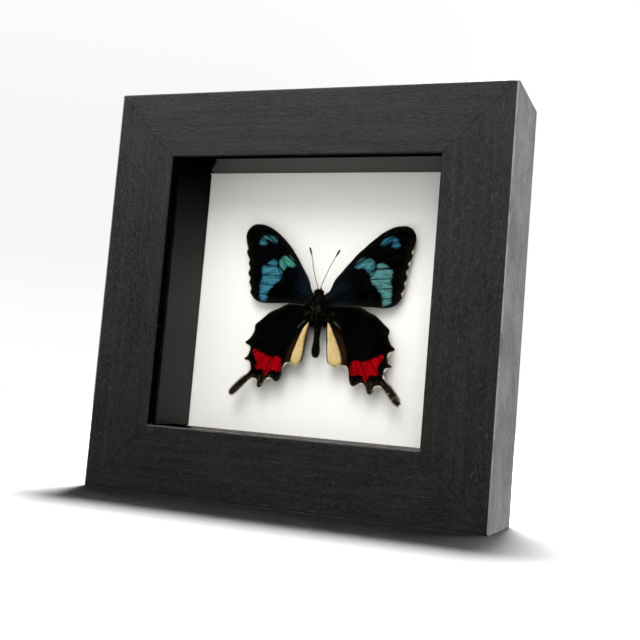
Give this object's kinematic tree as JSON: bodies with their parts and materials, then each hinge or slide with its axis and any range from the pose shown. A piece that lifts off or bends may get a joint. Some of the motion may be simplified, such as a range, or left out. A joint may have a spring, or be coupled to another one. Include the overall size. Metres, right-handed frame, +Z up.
{
  "type": "framed butterfly specimen",
  "caption": "Spread swallowtail butterfly held off a white card, in a deep black wooden box frame with mitred corners, glass and dark spacer strips.",
  "frame": {"origin": "under the middle of the box, on the surface that the bottom rail stands on", "axes": "+Z up, the glass faces -Y, +X to the right as seen from the front"},
  "size_m": [0.15, 0.0376, 0.147],
  "materials": {
    "black_wood": "black satin stain, fine grain",
    "clear_glass": "clear, polished",
    "black_board": "matt black card over foam",
    "white_card": "matt white card",
    "brown_board": "smooth hardboard",
    "steel": "zinc plated",
    "wing_scales": "velvety black scales with blue-green bands and red patches",
    "chitin": "dark, hairy",
    "foam": "matt foam"
  },
  "bodies": {
    "root": {"rail_top": "black_wood", "rail_bottom": "black_wood", "rail_left": "black_wood", "rail_right": "black_wood", "glass_pane": "clear_glass", "spacer_top": "black_board", "spacer_bottom": "black_board", "spacer_left": "black_board", "spacer_right": "black_board", "mount_card": "white_card", "back_board": "brown_board", "tab_top": "steel", "tab_bottom": "steel", "tab_left": "steel", "tab_right": "steel", "sawtooth_hanger": "steel", "hanger_nail_left": "steel", "hanger_nail_right": "steel", "forewing_left": "wing_scales", "forewing_right": "wing_scales", "hindwing_left": "wing_scales", "hindwing_right": "wing_scales", "body": "chitin", "antenna_left": "chitin", "antenna_right": "chitin", "stand_off_block": "foam"}
  },
  "joints": []
}
